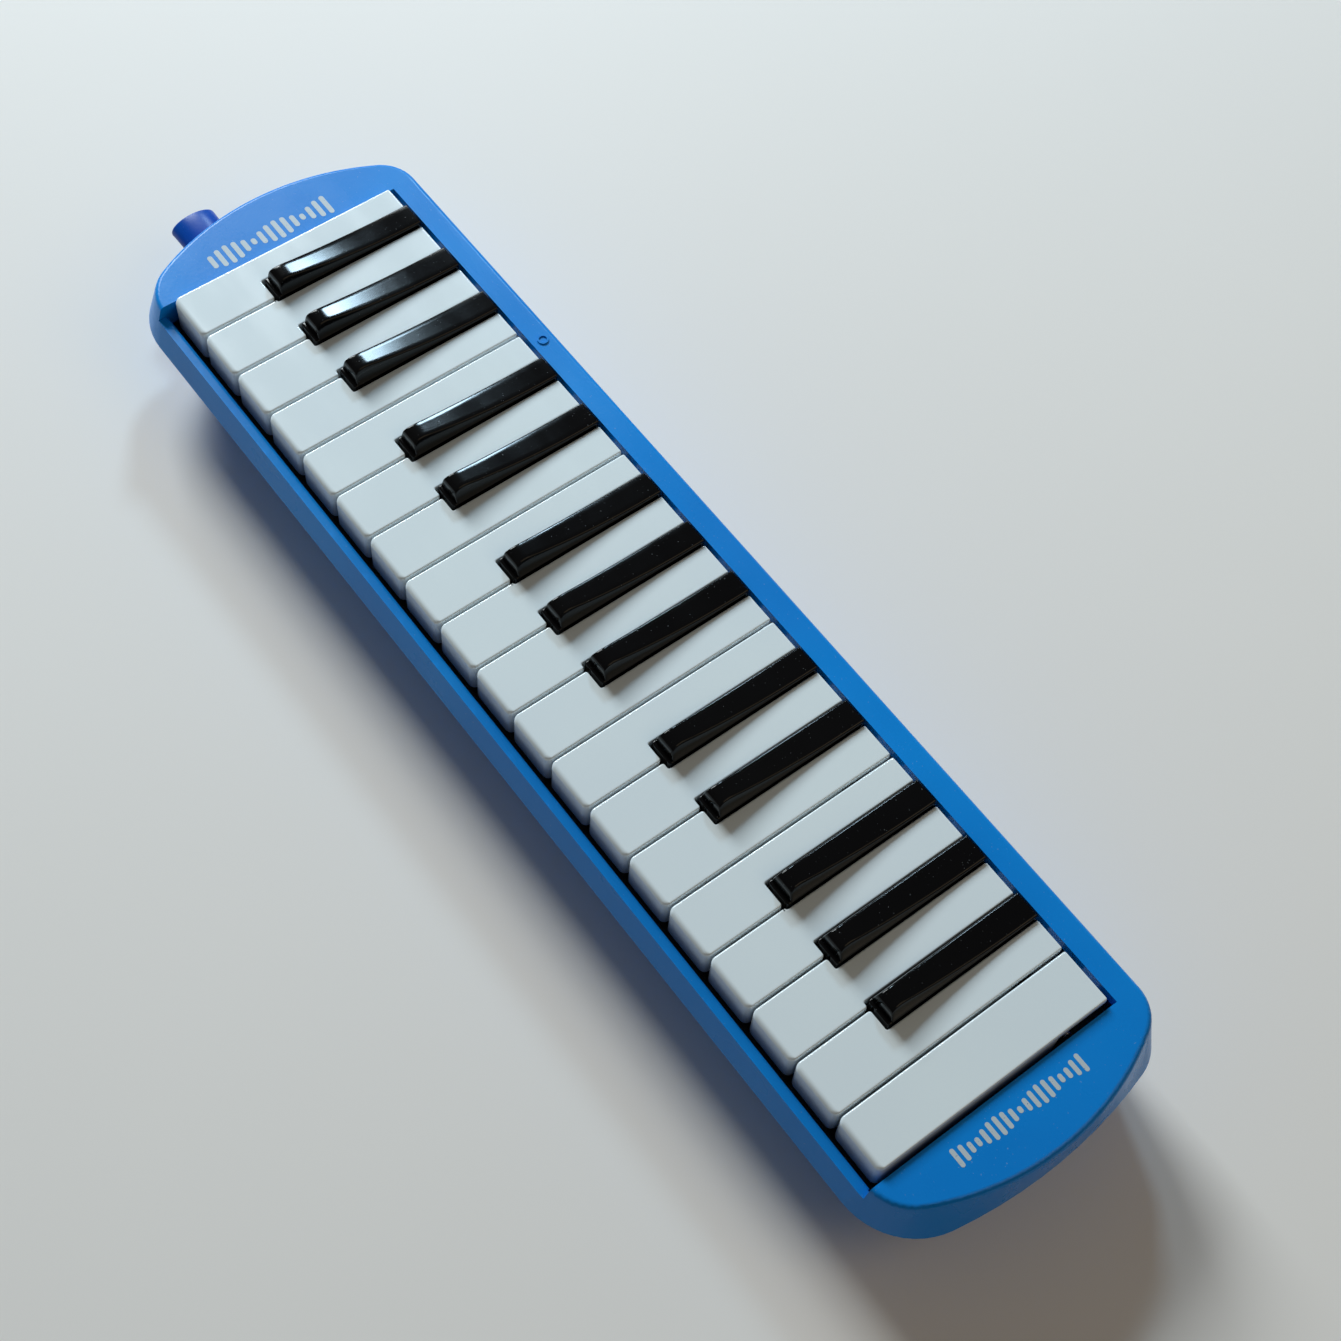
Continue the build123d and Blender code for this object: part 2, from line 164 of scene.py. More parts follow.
class Finish:
    """A material being mixed: its nodes, its shader and the place of each point on the object."""

    def __init__(self, name, **constants):
        self.material = bpy.data.materials.new(name)
        self.material.use_nodes = True
        self.tree = self.material.node_tree
        self.shader = self.tree.nodes["Principled BSDF"]
        self.place = Val(self, self.node("ShaderNodeTexCoord").outputs["Object"])
        self.set(**constants)

    def node(self, kind, settings=None, values=None):
        """Any node: its settings first, then the values or links of its sockets."""
        made = self.tree.nodes.new(kind)
        for key, value in (settings or {}).items():
            setattr(made, key, value)
        for key, value in (values or {}).items():
            if isinstance(value, Val):
                self.tree.links.new(value.socket, made.inputs[key])
            else:
                made.inputs[key].default_value = value
        return made

    def set(self, **values):
        """Constants or links for the shader's sockets, with _ for a space in a socket's name."""
        for key, value in values.items():
            socket = self.shader.inputs[key.replace("_", " ")]
            if isinstance(value, Val):
                self.tree.links.new(value.socket, socket)
            else:
                socket.default_value = value

    def stretched(self, scale):
        """The place, squeezed or stretched along x, y and z."""
        made = self.node("ShaderNodeMapping", None, {"Vector": self.place, "Scale": scale})
        return Val(self, made.outputs[0])

    def noise(self, scale, detail=3.0, place=None, roughness=0.5):
        """Cloudy noise between 0 and 1, with scale clouds to a metre."""
        values = {"Vector": place or self.place, "Scale": scale, "Detail": detail, "Roughness": roughness}
        return Val(self, self.node("ShaderNodeTexNoise", None, values).outputs["Fac"])

    def mix(self, mask, first, second):
        """Colour that goes from first to second with the mask."""
        made = self.node("ShaderNodeMix", {"data_type": "RGBA"}, {"Factor": mask, 6: first, 7: second})
        return Val(self, made.outputs[2])

    def bump(self, height, depth):
        """Relief in the normal: a height of 1 stands depth metres above a height of 0."""
        values = {"Height": height, "Distance": depth}
        self.set(Normal=Val(self, self.node("ShaderNodeBump", None, values).outputs[0]))


def rgb(red, green, blue):
    """Colour from display values to the linear ones that a shader wants."""
    linear = [((c + 0.055) / 1.055) ** 2.4 if c > 0.04045 else c / 12.92 for c in (red, green, blue)]
    return (*linear, 1.0)


# %% [markdown]
# ## The plastics
# Moulded plastic is one colour right through, so the variety comes from its surface. There is a faint
# orange peel, wide soft patches of more and less gloss from handling, and a few specks of dust. The case is
# satin blue, the socket a deeper blue, and the keys are polished.


# %% Moulded plastics
def moulded(name, colour, shade, gloss, peel=0.00002, smear=0.12, speck=0.0, peel_scale=900.0, **constants):
    """Moulded plastic: two near colours in wide patches, handling smears in the gloss and a fine peel."""
    f = Finish(name, **constants)
    patches = f.noise(14.0, 2.0).band(0.35, 0.65)
    tint = f.mix(patches, colour, shade)
    dust = f.noise(1400.0, 1.0).band(0.74, 0.80)
    if speck:
        tint = f.mix(dust * speck, tint, rgb(0.75, 0.78, 0.8))
    smears = f.noise(55.0, 4.0, f.stretched((0.5, 1.6, 1.0))).band(0.3, 0.75)
    f.set(Base_Color=tint, Roughness=gloss + smears * smear + dust * 0.2)
    f.bump(f.noise(peel_scale, 2.0) + f.noise(90.0, 1.0) * 2.0, peel)
    return f.material


case_blue = moulded(
    "satin_blue", rgb(0.05, 0.54, 0.88), rgb(0.04, 0.50, 0.84), 0.26, smear=0.05, speck=0.2,
    Specular_IOR_Level=0.22,
)
socket_blue = moulded(
    "deep_blue", rgb(0.02, 0.32, 0.70), rgb(0.01, 0.28, 0.65), 0.25, speck=0.2, Specular_IOR_Level=0.25,
)
inner_grey = moulded("dull_grey", rgb(0.20, 0.21, 0.23), rgb(0.17, 0.18, 0.20), 0.5)
button_black = moulded("dull_black", rgb(0.10, 0.10, 0.11), rgb(0.08, 0.08, 0.09), 0.4)
key_white = moulded(
    "polished_white", rgb(0.885, 0.93, 0.95), rgb(0.875, 0.92, 0.945), 0.13, smear=0.10, speck=0.1,
    peel=0.000003, peel_scale=500.0,
)
key_black = moulded(
    "polished_black", rgb(0.03, 0.03, 0.035), rgb(0.02, 0.02, 0.025), 0.10, smear=0.05, speck=0.15,
    peel=0.000001, peel_scale=500.0, Specular_IOR_Level=0.26,
)
plastics = (case_blue, socket_blue, inner_grey, button_black, key_white, key_black)
print("moulded plastics:", [m.name for m in plastics])

# %% [markdown]
# ## Metal, rubber, felt and ink
# Brass plates are rolled, so their streaks run along the plate. The springs and reeds are bright steel.
# Rubber is dull with a fine grain. Felt is a mat of fibres, which needs a strong fine bump and some sheen.
# The ink on the end caps is printed with a soft pad and sits a hair above the plastic.


# %% Other finishes
def rolled(name, colour, shade, gloss, streak=(4.0, 400.0, 400.0)):
    """Metal with streaks along x from rolling or drawing."""
    f = Finish(name, Metallic=1.0)
    streaks = f.noise(1.0, 3.0, f.stretched(streak))
    tarnish = f.noise(40.0, 4.0).band(0.45, 0.8)
    f.set(Base_Color=f.mix(tarnish, colour, shade), Roughness=gloss + streaks * 0.2 + tarnish * 0.1)
    f.bump(streaks, 0.00002)
    return f.material


def soft(name, colour, shade, grain, depth, **constants):
    """Dull material with a fine grain: rubber, or felt with its fibres."""
    f = Finish(name, **constants)
    grains = f.noise(grain, 4.0, roughness=0.7)
    f.set(Base_Color=f.mix(grains.band(0.35, 0.65), colour, shade), Roughness=0.75 + grains * 0.2)
    f.bump(grains, depth)
    return f.material


def printed(name, colour):
    """Pad-printed ink: nearly even, with pinholes and a slightly rough top."""
    f = Finish(name)
    pinholes = f.noise(1800.0, 2.0).band(0.68, 0.74)
    f.set(Base_Color=f.mix(pinholes, colour, rgb(0.35, 0.5, 0.66)), Roughness=0.5 + f.noise(300.0) * 0.15)
    f.bump(f.noise(700.0), 0.00001)
    return f.material


plate_brass = rolled("rolled_brass", rgb(0.80, 0.66, 0.35), rgb(0.60, 0.47, 0.25), 0.2)
steel = rolled("bright_steel", rgb(0.75, 0.76, 0.78), rgb(0.6, 0.6, 0.62), 0.18)
rubber_black = soft("dull_rubber", rgb(0.10, 0.10, 0.10), rgb(0.14, 0.14, 0.14), 900.0, 0.00004)
felt = soft("charcoal_felt", rgb(0.16, 0.16, 0.17), rgb(0.22, 0.22, 0.23), 1500.0, 0.0003, Sheen_Weight=0.3)
pad_suede = soft("pad_suede", rgb(0.80, 0.74, 0.62), rgb(0.72, 0.66, 0.54), 1200.0, 0.0002)
cap_ink = printed("cap_ink", rgb(0.72, 0.77, 0.80))
print("other finishes:", [m.name for m in (plate_brass, steel, rubber_black, felt, pad_suede, cap_ink)])

# %% [markdown]
# ## Loops with round corners
# Seen from above, a white key is a polygon of right angles with small round corners. Each corner is a
# quarter of a circle between its two edges. The same formula also takes a point on a straight edge, which
# then gives a short straight run. A loop moves inwards by pulling each corner in and by making outer
# corners tighter and inner corners wider.


# %% Round loops
def unit(v):
    """Each vector divided by its own length."""
    return v / np.linalg.norm(v, axis=-1, keepdims=True)


def round_loop(corners, radii, steps=6):
    """Closed loop with a rounded corner at each point: centre - r * (out * cos t + back * sin t)."""
    p, r = np.asarray(corners, float), np.asarray(radii, float)
    back, out = unit(np.roll(p, 1, 0) - p)[:, None], unit(np.roll(p, -1, 0) - p)[:, None]
    t = np.linspace(0, pi / 2, steps)[None, :, None]
    r = r.reshape(len(p), 1, -1)
    return (p[:, None] + (back + out) * r - r * (out * np.cos(t) + back * np.sin(t))).reshape(-1, 2)


def lift(loop, heights):
    """A flat loop at one height, or at a height for each of its points."""
    return np.column_stack([loop, np.broadcast_to(heights, len(loop))])


def rounded_block(low, high, corner, edge, steps=5):
    """Box with round upright corners. At angle a its lower edge is moved in by edge * (1 - sin a) and raised
    by edge * (1 - cos a), and its upper edge is the same upside down."""
    (x0, y0, z0), (x1, y1, z1) = low, high
    turn = np.linspace(0, pi / 2, steps)
    insets = list(edge * (1 - np.sin(turn))) + list(edge * (1 - np.cos(turn)))
    heights = list(z0 + edge * (1 - np.cos(turn))) + list(z1 - edge * (1 - np.sin(turn)))
    loops = []
    for inset, height in zip(insets, heights):
        front, rear = y0 + inset, y1 - inset
        left, right = x0 + inset, x1 - inset
        corners = [(left, front), (right, front), (right, rear), (left, rear)]
        loops.append(lift(round_loop(corners, [max(corner - inset, 0.02 * mm)] * 4), height))
    return skin(loops)


# %% [markdown]
# ## White keys
# A white key is a hollow moulding, full width in front and narrow between the black keys. Its front edge is
# well rounded, and its sides only just. The model's boxes say where each key and its black neighbours are,
# so the notches follow from them. Under the rear end is the lever that turns on the shaft, and behind that
# the suede pad on its air slot.

# %% Shared sizes of the keys
key_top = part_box(whites[0])[1][2]
key_bottom = key_top - 13.0 * mm
key_plate = key_top - 2.4 * mm
key_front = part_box(whites[0])[0][1]
key_rear = key_front + 88.4 * mm
skirt_rear = key_front + 69.0 * mm
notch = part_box(blacks[0])[0][1] - 0.8 * mm
clear = 0.5 * mm
black_boxes = [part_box(node) for node in blacks]
pivot_y, pivot_z = joints[whites[0] + "_press"]["pos_m"][1:]
pad_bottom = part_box(whites[0])[0][2]
pad_top = pad_bottom + 2.35 * mm
web_front = skirt_rear - 4.0 * mm
web_rear = key_rear - 0.6 * mm
web_top = key_plate + 0.3 * mm
arm_front = pivot_y + 5.0 * mm
pad_front = pivot_y + 5.1 * mm
pad_half_width, pad_length = 3.2 * mm, 12.0 * mm
print("keys", round((key_rear - key_front) / mm, 1), "mm long, shaft at y", round(pivot_y / mm, 1), "mm")


# %% Lever and pad
def lever(middle, rear, width=7.0 * mm, hub=4.2 * mm, bore=1.55 * mm):
    """Flat lever with a bore. Its outline is sampled by equal steps between corners, each point of the bore
    lies in the same direction from the shaft as its partner on the outline, and both are carried across. The
    bore is straight between its points, and its longest stretches pass a little inside the bore's radius."""
    low, high = middle - width / 2, middle + width / 2
    around = np.linspace(-pi * 0.32, -pi * 0.72, 6)
    hub_points = list(zip(pivot_y + hub * np.cos(around), pivot_z + hub * np.sin(around)))
    outline = [(web_rear, pivot_z), (rear, pivot_z), (rear, pad_top), (arm_front, pad_top)]
    outline += hub_points
    outline += [(web_front, key_bottom + 2.0 * mm), (web_front, web_top), (web_rear, web_top)]
    corners = np.array(outline)
    step = np.linspace(0, 1, 4, endpoint=False)[None, :, None]
    outer = (corners[:, None] * (1 - step) + np.roll(corners, -1, 0)[:, None] * step).reshape(-1, 2)
    shaft = np.array([pivot_y, pivot_z])
    inner = shaft + bore * unit(outer - shaft)
    rounds = ((outer, low), (inner, low), (inner, high), (outer, high))
    loops = [np.column_stack([np.full(len(line), x), line]) for line, x in rounds]
    return skin(loops, wrap=True)


def pad(middle):
    """Suede pad with soft edges."""
    low = (middle - pad_half_width, pad_front, pad_bottom)
    high = (middle + pad_half_width, pad_front + pad_length, pad_top)
    return rounded_block(low, high, corner=1.0 * mm, edge=0.5 * mm)


# %% White keys
def white_loop(x0, x1, r0, r1, side, front):
    """Plan of a white key moved in by side, and by front at its front edge. r0 and r1 bound its rear part."""
    # Each corner: x, y, which way is inwards along x and y, radius, and whether the corner is an outer one.
    corners = [(x0, key_front, 1, 1, 2.2, 1), (x1, key_front, -1, 1, 2.2, 1)]
    if r1 < x1:
        corners += [(x1, notch, -1, -1, 0.9, 1), (r1, notch, -1, -1, 0.6, -1)]
    corners += [(r1, skirt_rear, -1, 0, 0.2, 0), (r1, key_rear, -1, -1, 0.7, 1)]
    corners += [(r0, key_rear, 1, -1, 0.7, 1), (r0, skirt_rear, 1, 0, 0.2, 0)]
    if r0 > x0:
        corners += [(r0, notch, 1, -1, 0.6, -1), (x0, notch, 1, -1, 0.9, 1)]
    table = np.array(corners)
    inset_y = np.where(table[:, 3] > 0, front, side)
    places = table[:, :2] + table[:, 2:4] * np.column_stack([np.full(len(table), side), inset_y])
    radii = table[:, 4:5] * mm - table[:, 5:6] * np.column_stack([np.full(len(table), side), inset_y])
    return round_loop(places, np.maximum(radii, 0.05 * mm))


def white_shell(x0, x1, r0, r1, edge=0.6 * mm, nose=1.7 * mm, wall=1.5 * mm):
    """Loops from the ceiling of the hollow, round the skirt's lower edge, up the sides and over the edges.
    An edge's loop at angle a is moved in by radius * (1 - cos a) and lowered by radius * (1 - sin a)."""
    inner, outer = white_loop(x0, x1, r0, r1, wall, wall), white_loop(x0, x1, r0, r1, 0, 0)
    loops = [lift(inner, key_plate + 0.02 * mm)]
    loops += [lift(loop, np.where(loop[:, 1] < skirt_rear, key_bottom, key_plate)) for loop in (inner, outer)]
    for a in np.linspace(0, pi / 2, 6):
        loop = white_loop(x0, x1, r0, r1, edge * (1 - cos(a)), nose * (1 - cos(a)))
        near = np.clip((outer[:, 1] - key_front) / (2.4 * mm), 0, 1)
        radius = nose + (edge - nose) * near * near * (3 - 2 * near)
        loops.append(lift(loop, key_top - radius * (1 - sin(a))))
    loops.append(lift(white_loop(x0, x1, r0, r1, edge + 0.3 * mm, nose + 0.3 * mm), key_top))
    return skin(loops)


def white_bounds(node):
    """The key's two sides in front and behind. Behind, a black key that stands across a side pushes it in."""
    low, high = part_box(node)
    x0, x1 = low[0], high[0]
    spans = [(black_low[0], black_high[0]) for black_low, black_high in black_boxes]
    left = [end + clear for start, end in spans if start < x0 < end]
    right = [start - clear for start, end in spans if start < x1 < end]
    return x0, x1, max([x0] + left), min([x1] + right)


for node in whites:
    x0, x1, r0, r1 = white_bounds(node)
    middle = (r0 + r1) / 2
    parts = [(*white_shell(x0, x1, r0, r1), key_white), (*lever(middle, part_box(node)[1][1]), key_white)]
    piece(node + "_look", parts + [(*pad(middle), pad_suede)], node, [node])
print("white keys:", len(whites), "of", round((x1 - x0) / mm, 1), "mm")

# %% [markdown]
# ## Black keys
# A black key stands on a lower block that ends in a small toe. Above it the body leans in from both sides.
# Its nose rises steeply to a crease, rounds over to the highest point, and the top then falls away to the
# rear in a hollow curve. The upper body is a row of cross-sections along y, each with its own height and
# width.


# %% Black keys
def hollow_curve(y, start, through, end):
    """Height of the circle through three points (y, z), on its lower side."""
    points = np.array([start, through, end])
    rows = np.column_stack([2 * points, np.ones(3)])
    b, c, d = np.linalg.solve(rows, (points**2).sum(1))
    radius = np.sqrt(d + b * b + c * c)
    return c - np.sqrt(radius * radius - (y - b) ** 2)


def black_body(middle, half, front, top):
    """Cross-sections along y. Above a short steep face the nose follows a quarter of a squared ellipse, with
    sine and cosine to the power of squareness. The width shrinks with height, and near the nose also by the
    rounding of the upright edges."""
    toe, crease = key_top + 1.0 * mm, key_top + 3.4 * mm
    nose, crown = front + 1.4 * mm, front + 5.6 * mm
    face_y = np.linspace(nose - 0.25 * mm, nose, 5)
    face_z = np.linspace(toe - 0.5 * mm, crease, 5)
    swing = np.linspace(0, pi / 2, 14)[1:]
    squareness = 0.62
    brow_y = nose + (crown - nose) * (1 - np.abs(np.cos(swing)) ** squareness)
    brow_z = crease + (top - crease) * np.sin(swing) ** squareness
    back_y = np.linspace(crown, key_rear, 26)[1:]
    back_z = hollow_curve(
        back_y, (crown, top), (key_front + 60.0 * mm, key_top + 3.2 * mm), (key_rear, key_top + 1.8 * mm)
    )
    # The circle meets the nose's ellipse at an angle; the first stretch eases from one into the other.
    ease = np.clip((back_y - crown) / (6.0 * mm), 0, 1)
    back_z = back_z + (top - back_z) * (1 - ease) ** 2 * 0.35
    ys, zs = np.concatenate([face_y, brow_y, back_y]), np.concatenate([face_z, brow_z, back_z])
    edge, upright = 0.55 * mm, 0.9 * mm
    near = np.clip((ys - face_y[0]) / upright, 0, 1)
    shrink = upright * (1 - np.sqrt(1 - (1 - near) ** 2))
    crown_half = 3.1 * mm
    lean = (half - crown_half) / (top - toe)
    loops = []
    for y, z, less in zip(ys, zs, shrink):
        a = np.linspace(0, pi / 2, 5)
        side_z = np.array([toe - 2.5 * mm, min(toe, z - edge)])
        arc_z = z - edge * (1 - np.sin(a))
        heights = np.concatenate([side_z, arc_z])
        width = half - less - lean * np.maximum(heights - toe, 0)
        width[2:] -= edge * (1 - np.cos(a))
        inner = np.array([0.6, 0.2]) * width[-1]
        xs = np.concatenate([width, inner, -inner[::-1], -width[::-1]]) + middle
        up = np.concatenate([heights, [z, z, z, z], heights[::-1]])
        loops.append(np.column_stack([xs, np.full(len(xs), y), up]))
    return skin(loops)


def black_base(middle, half, front):
    """Hollow lower block: loops from the ceiling round the lower edge and over the toe."""
    def loop(inset, height):
        x0, x1, y0, y1 = middle - half + inset, middle + half - inset, front + inset, key_rear - inset
        corners = [(x0, y0), (x1, y0), (x1, skirt_rear), (x1, y1), (x0, y1), (x0, skirt_rear)]
        r = max(1.0 * mm - inset, 0.1 * mm)
        flat = round_loop(corners, [r, r, 0.2 * mm, r, r, 0.2 * mm])
        return lift(flat, np.where(flat[:, 1] < skirt_rear, height, np.maximum(height, key_plate)))

    top, edge, wall = key_top + 1.0 * mm, 0.45 * mm, 1.6 * mm
    loops = [loop(wall, key_plate + 0.4 * mm), loop(wall, key_bottom), loop(0, key_bottom)]
    loops += [loop(edge * (1 - cos(a)), top - edge * (1 - sin(a))) for a in np.linspace(0, pi / 2, 5)]
    return skin(loops)


for node in blacks:
    low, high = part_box(node)
    middle, half = (low[0] + high[0]) / 2, (high[0] - low[0]) / 2
    upper, lower = black_body(middle, half, low[1], high[2]), black_base(middle, half, low[1])
    parts = [(*upper, key_black), (*lower, key_black)]
    parts += [(*lever(middle, high[1]), key_black), (*pad(middle), pad_suede)]
    piece(node + "_look", parts, node, [node], crease=40.0)
print("black keys:", len(blacks), "of", round(2 * half / mm, 1), "mm")

# %% [markdown]
# ## Springs
# A coil spring under each key pushes it back up, and a wider one holds the drain button down. A coil is a
# circle carried along a helix, and each one fills the box of its spring in the model.


# %% Springs
def coil(low, high, wire, turns, per_turn=12, sides=6):
    """Tube round a helix that fills a box: (r cos t, r sin t, height). The height stays level for 0.8 of a
    turn at each end and climbs evenly between."""
    low, high = np.array(low), np.array(high)
    centre, radius = (low + high) / 2, (high[1] - low[1]) / 2 - wire
    t = np.linspace(0, 2 * pi * turns, turns * per_turn + 1)
    share = np.clip((t / (2 * pi) - 0.8) / (turns - 1.6), 0, 1)
    climb = low[2] + wire + (high[2] - low[2] - 2 * wire) * share
    outwards = np.column_stack([np.cos(t), np.sin(t), np.zeros(len(t))])
    axis_line = np.column_stack([np.full(len(t), centre[0]), np.full(len(t), centre[1]), climb])
    line = outwards * radius + axis_line
    a = np.linspace(0, 2 * pi, sides, endpoint=False)[None, :, None]
    upwards = np.array([0, 0, 1.0])
    return skin(line[:, None] + wire * (outwards[:, None] * np.cos(a) + upwards * np.sin(a)))


spring_low, spring_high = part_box("key_springs")
spring_radius = (spring_high[1] - spring_low[1]) / 2
lever_middle = {node: sum(white_bounds(node)[2:]) / 2 for node in whites}
lever_middle.update({node: (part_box(node)[0][0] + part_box(node)[1][0]) / 2 for node in blacks})
for node, x in lever_middle.items():
    low, high = (x - spring_radius, *spring_low[1:]), (x + spring_radius, *spring_high[1:])
    parts = [(*coil(low, high, wire=0.35 * mm, turns=7), steel)]
    spring = piece("spring_" + node, parts, "body", ["key_springs"])
    node + "_press"
    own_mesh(spring)

low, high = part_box("drain_spring")
push = joints["drain_button_press"]["range_m"][1]
parts = [(*coil(low, high, wire=0.4 * mm, turns=4, per_turn=20), steel)]
spring = piece("drain_spring_look", parts, "body", ["drain_spring"])
1 - push / (high[2] - low[2])
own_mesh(spring)
print("drain spring:", round((high[2] - low[2]) / mm, 1), "mm")

# %% [markdown]
# ## The case
# Both halves of the case are already right in shape, so their shells are kept. Their triangles come in
# loose, though, and would catch the light one by one. A copy is welded together and shaded smooth, with
# sharp edges only where the moulding turns sharply. A narrow bevel softens those turns, and weighted
# normals keep the flat faces flat.


# %% Welded shells
def welded(node, material, crease=28.0):
    """A joined, smooth copy of a node's mesh: equal points become one, as do faces that lie in one plane."""
    mesh = frame["nodes"][node].data.copy()
    mesh.name = node + "_look"
    work = bmesh.new()
    work.from_mesh(mesh)
    bmesh.ops.remove_doubles(work, verts=work.verts, dist=0.002 * mm)
    bmesh.ops.dissolve_degenerate(work, edges=work.edges, dist=0.001 * mm)
    bmesh.ops.dissolve_limit(work, angle_limit=radians(0.3), verts=work.verts, edges=work.edges)
    work.to_mesh(mesh)
    work.free()
    mesh.materials.clear()
    mesh.materials.append(material)
    mesh.polygons.foreach_set("material_index", [0] * len(mesh.polygons))
    mesh.polygons.foreach_set("use_smooth", [True] * len(mesh.polygons))
    mesh.set_sharp_from_angle(angle=radians(crease))
    made = bpy.data.objects.new(node + "_look", mesh)
    bpy.context.scene.collection.objects.link(made)
    bevel = made.modifiers.new("Softened edges", "BEVEL")
    bevel.width, bevel.segments, bevel.limit_method, bevel.angle_limit = 0.35 * mm, 2, "ANGLE", radians(50)
    made.modifiers.new("Weighted normals", "WEIGHTED_NORMAL").keep_sharp = True
    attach(made, "body")
    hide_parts(node)
    return made


for node in ("upper_case", "lower_case"):
    shell = welded(node, case_blue)
    print(node, "faces:", len(shell.data.polygons))

# %% [markdown]
# ## Mouthpiece socket
# The socket is an oval tube that flares a little to its mouth and has a rounded lip. It is one profile of
# half-widths and half-heights along x, wrapped from the outside over the lip and back down the bore.

# %% Socket
socket_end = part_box("mouthpiece_socket")[1][0]
mouth = next(mount["pos_m"] for mount in frame["record"]["mounts"] if mount["name"] == "mouthpiece")


def oval_skin(stations):
    """Ovals along x, each (x, half-width, half-height), joined into a closed tube."""
    t = np.linspace(0, 2 * pi, 72, endpoint=False)
    loops = []
    for x, a, b in stations:
        y, z = mouth[1] + a * np.cos(t), mouth[2] + b * np.sin(t)
        loops.append(np.column_stack([np.full(len(t), x), y, z]))
    return skin(loops, wrap=True)


# Half-widths and half-heights in mm.
bore, neck, flare = (7.1, 3.5), (8.0, 4.0), (8.7, 4.8)
lip = 0.8
stations = [(socket_end, *bore), (socket_end, *neck), (mouth[0] + 12.2 * mm, *neck)]
# Shoulder where the neck widens into the tube, by the distance from the mouth.
for back, a, b in ((11.4, 8.05, 4.1), (10.9, 8.4, 4.5), (10.2, 8.5, 4.6), (4.0, 8.6, 4.7)):
    stations.append((mouth[0] + back * mm, a, b))
for turn in np.linspace(0, pi / 2, 7):
    inwards = lip * (1 - cos(turn))
    stations.append((mouth[0] + lip * mm * (1 - sin(turn)), flare[0] - inwards, flare[1] - inwards))
stations += [(mouth[0] + 0.25 * mm, bore[0] + 0.2, bore[1] + 0.2), (mouth[0] + lip * mm, *bore)]
stations = [(x, a * mm, b * mm) for x, a, b in stations]
parts = [(*oval_skin(stations), socket_blue)]
piece("mouthpiece_socket_look", parts, "body", ["mouthpiece_socket"])
print("socket:", len(stations), "ovals")

# %% [markdown]
# ## Prints on the end caps
# The real case has lettering printed on both caps. Here it gives way to plain ornament: a row of rounded
# bars that swell and fade like a sound. Each bar is a thin slab of ink with round ends.


# %% Prints
# The case's highest part is the raised ring, half a millimetre above the caps.
cap_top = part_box("upper_case")[1][2] - 0.5 * mm


def bar_loop(x0, x1, y0, y1, r):
    """Plan of one bar: a rectangle with quarter circles of radius r at its corners."""
    return round_loop([(x0, y0), (x1, y0), (x1, y1), (x0, y1)], [r] * 4, steps=7)


def ink_bars(first_x, deepest, y0, y1, count, swell):
    """Bars across the cap, evenly spaced along y, each as long as swell says for its share of the way and a
    little thicker than the gap to the next."""
    pitch = (y1 - y0) / count
    parts = []
    for number in range(count):
        share = (number + 0.5) / count
        length = deepest * swell(share)
        low = y0 + pitch * (number + 0.22)
        thick = pitch * 0.56
        plan = bar_loop(first_x - length / 2, first_x + length / 2, low, low + thick, thick * 0.499)
        parts.append((*skin([lift(plan, cap_top - 0.05 * mm), lift(plan, cap_top + 0.04 * mm)]), cap_ink))
    return parts


left_end, right_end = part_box(whites[0])[0][0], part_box(whites[-1])[1][0]
left_bars = ink_bars(
    left_end - 8.2 * mm, 9.0 * mm, key_front + 19 * mm, key_front + 69 * mm, 15,
    lambda share: 0.30 + 0.70 * abs(sin(2.5 * pi * share + 0.3)),
)
piece("left_cap_print", left_bars, "body")
right_bars = ink_bars(
    right_end + 9.5 * mm, 6.5 * mm, key_front + 20 * mm, key_front + 71 * mm, 19,
    lambda share: 0.34 + 0.66 * abs(cos(3.0 * pi * share)),
)
piece("right_cap_print", right_bars, "body")
print("bars:", len(left_bars), "and", len(right_bars))

# %% [markdown]
# ## Finishes for the rest
# The parts inside, the screws and the button keep their shapes and only get their finish.

# %% Finishing the kept nodes
kept = [
    (inner_grey, ("inlet_duct", "reed_block", "chamber_cover", "key_bed")),
    (rubber_black, ("socket_seal", "chamber_gasket", "rubber_feet", "drain_seal")),
    (steel, ("case_screws", "chamber_screws", "reed_screws", "reeds_low", "reeds_high")),
    (steel, ("key_shaft", "shaft_clips")),
    (plate_brass, ("reed_plate_low", "reed_plate_high")),
    (felt, ("white_key_felt", "black_key_felt")),
    (button_black, ("drain_button",)),
]
for finish, nodes in kept:
    for node in nodes:
        mesh = frame["nodes"][node].data
        mesh.materials.clear()
        mesh.materials.append(finish)
print("finished:", sum(len(nodes) for finish, nodes in kept), "nodes")

# %% [markdown]
# ## Floor, light and camera
# A pale floor and area lights, as in a studio. The large main light stands on the low-note side, about 33
# degrees up, so the black keys throw soft shadows to the right. A small blue one behind the low notes is
# there to be mirrored in the tops of the low black keys. A weak warm one behind the high notes tints the
# shadows.

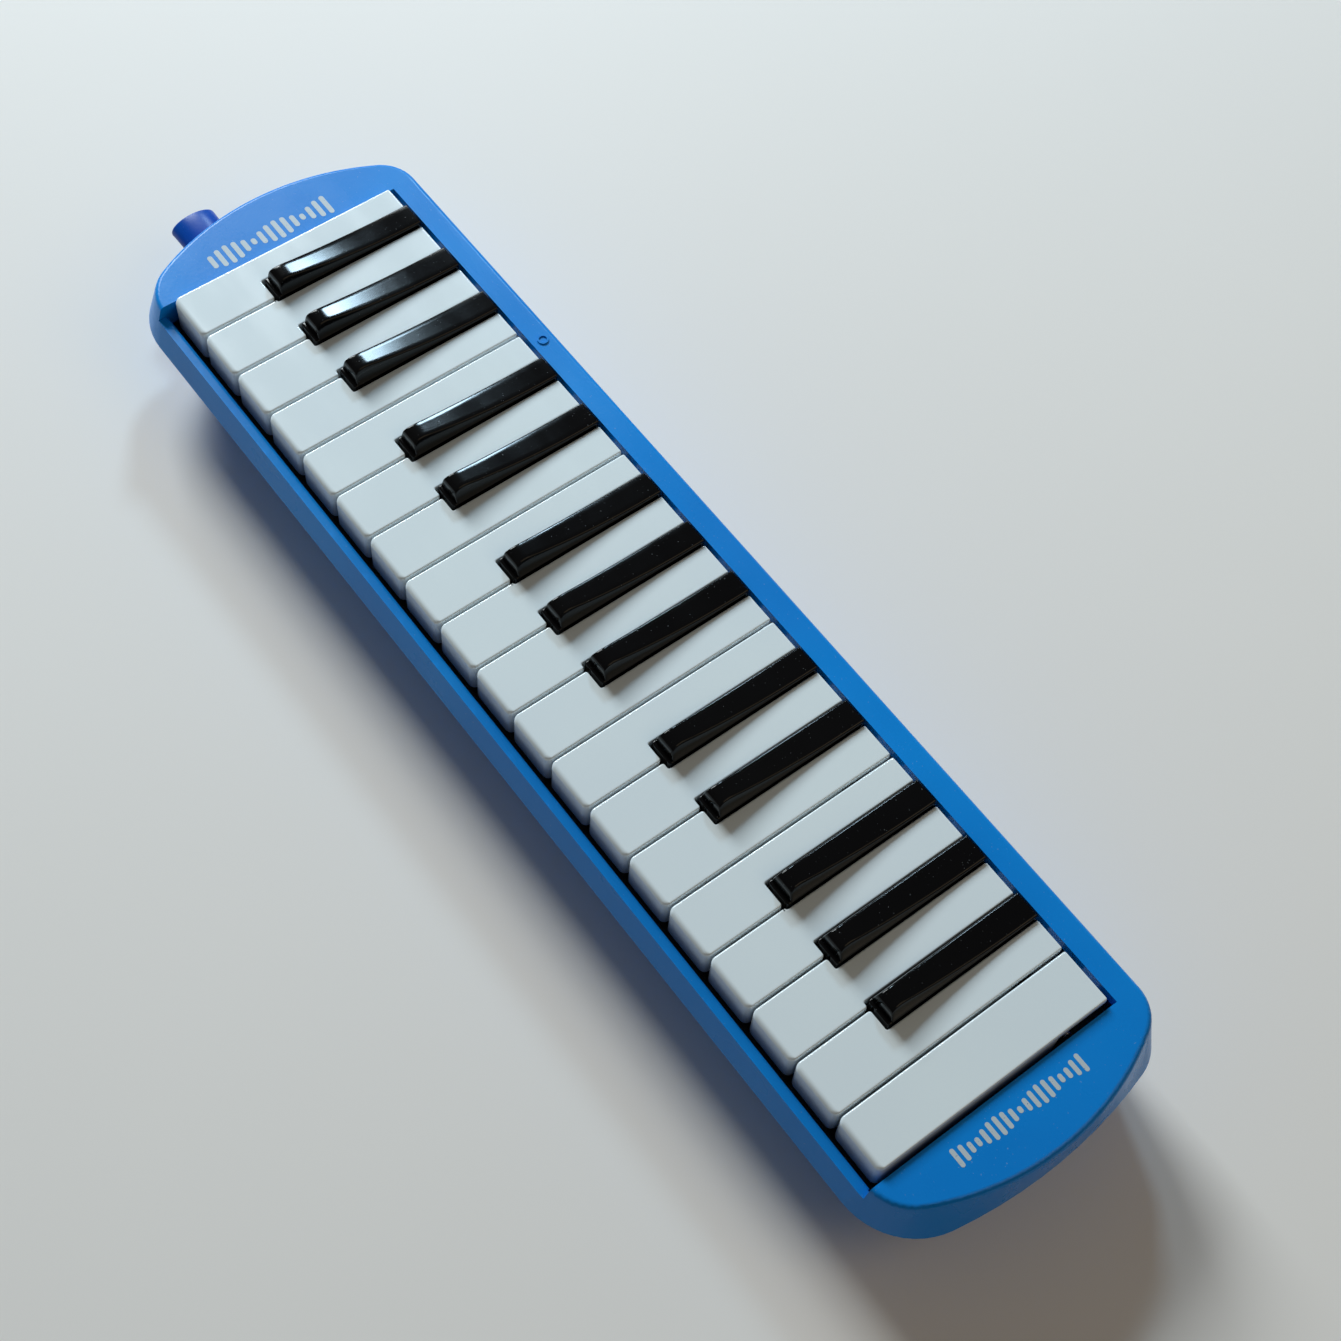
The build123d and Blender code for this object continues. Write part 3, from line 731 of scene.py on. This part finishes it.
# %% Floor
floor_mesh = bpy.data.meshes.new("floor")
reach = 3.0
floor_corners = [(-reach, -reach, 0), (reach, -reach, 0), (reach, reach, 0), (-reach, reach, 0)]
floor_mesh.from_pydata(floor_corners, [], [(0, 1, 2, 3)])
floor = bpy.data.objects.new("floor", floor_mesh)
bpy.context.scene.collection.objects.link(floor)
pale = Finish("floor_pale", Specular_IOR_Level=0.2)
pale.set(Base_Color=pale.mix(pale.noise(3.0), rgb(0.91, 0.90, 0.89), rgb(0.93, 0.92, 0.91)), Roughness=0.9)
floor_mesh.materials.append(pale.material)


# %% Lights
def softbox(name, place, aim, size, power, colour):
    """Square area light that faces its aim."""
    data = bpy.data.lights.new(name, "AREA")
    data.shape, data.size, data.energy, data.color = "SQUARE", size, power, colour
    lamp = bpy.data.objects.new(name, data)
    lamp.location = place
    lamp.rotation_euler = (Vector(aim) - Vector(place)).to_track_quat("-Z", "Y").to_euler()
    bpy.context.scene.collection.objects.link(lamp)


softbox("main_light", (-2.10, 0.45, 1.38), (0, 0, 0), 0.9, 60.0, (0.90, 0.98, 1.0))
softbox("rear_window", (-0.81, 0.66, 0.79), (-0.165, -0.01, 0.05), 0.15, 4.4, (0.58, 0.82, 1.0))
softbox("warm_fill", (0.9, 0.5, 1.2), (0, 0, 0), 0.9, 2.8, (1.0, 0.78, 0.50))
bpy.context.scene.view_settings.view_transform = "Standard"
world = bpy.data.worlds.new("studio")
world.use_nodes = True
world.node_tree.nodes["Background"].inputs["Color"].default_value = (1.0, 0.98, 0.95, 1.0)
world.node_tree.nodes["Background"].inputs["Strength"].default_value = 0.10
bpy.context.scene.world = world

# %% Camera
view = {"azimuth": radians(46.67), "elevation": radians(60.09), "roll": radians(6.89), "distance": 0.7094}
aim = Vector((32.35 * mm, 4.7 * mm, key_top))
across = cos(view["elevation"])
forward = Vector((-sin(view["azimuth"]) * across, cos(view["azimuth"]) * across, -sin(view["elevation"])))
level = forward.cross(Vector((0, 0, 1))).normalized()
right = level * cos(view["roll"]) + level.cross(forward) * sin(view["roll"])
turned = Matrix((right, right.cross(forward), -forward)).transposed().to_4x4()
camera_data = bpy.data.cameras.new("camera")
camera_data.sensor_width, camera_data.lens = 36.0, 60.34
camera_data.clip_start, camera_data.clip_end = 0.01, 20.0
camera = bpy.data.objects.new("camera", camera_data)
camera.matrix_world = Matrix.Translation(aim - forward * view["distance"]) @ turned
bpy.context.scene.collection.objects.link(camera)
bpy.context.scene.camera = camera
print("camera at", [round(v, 3) for v in camera.matrix_world.translation])
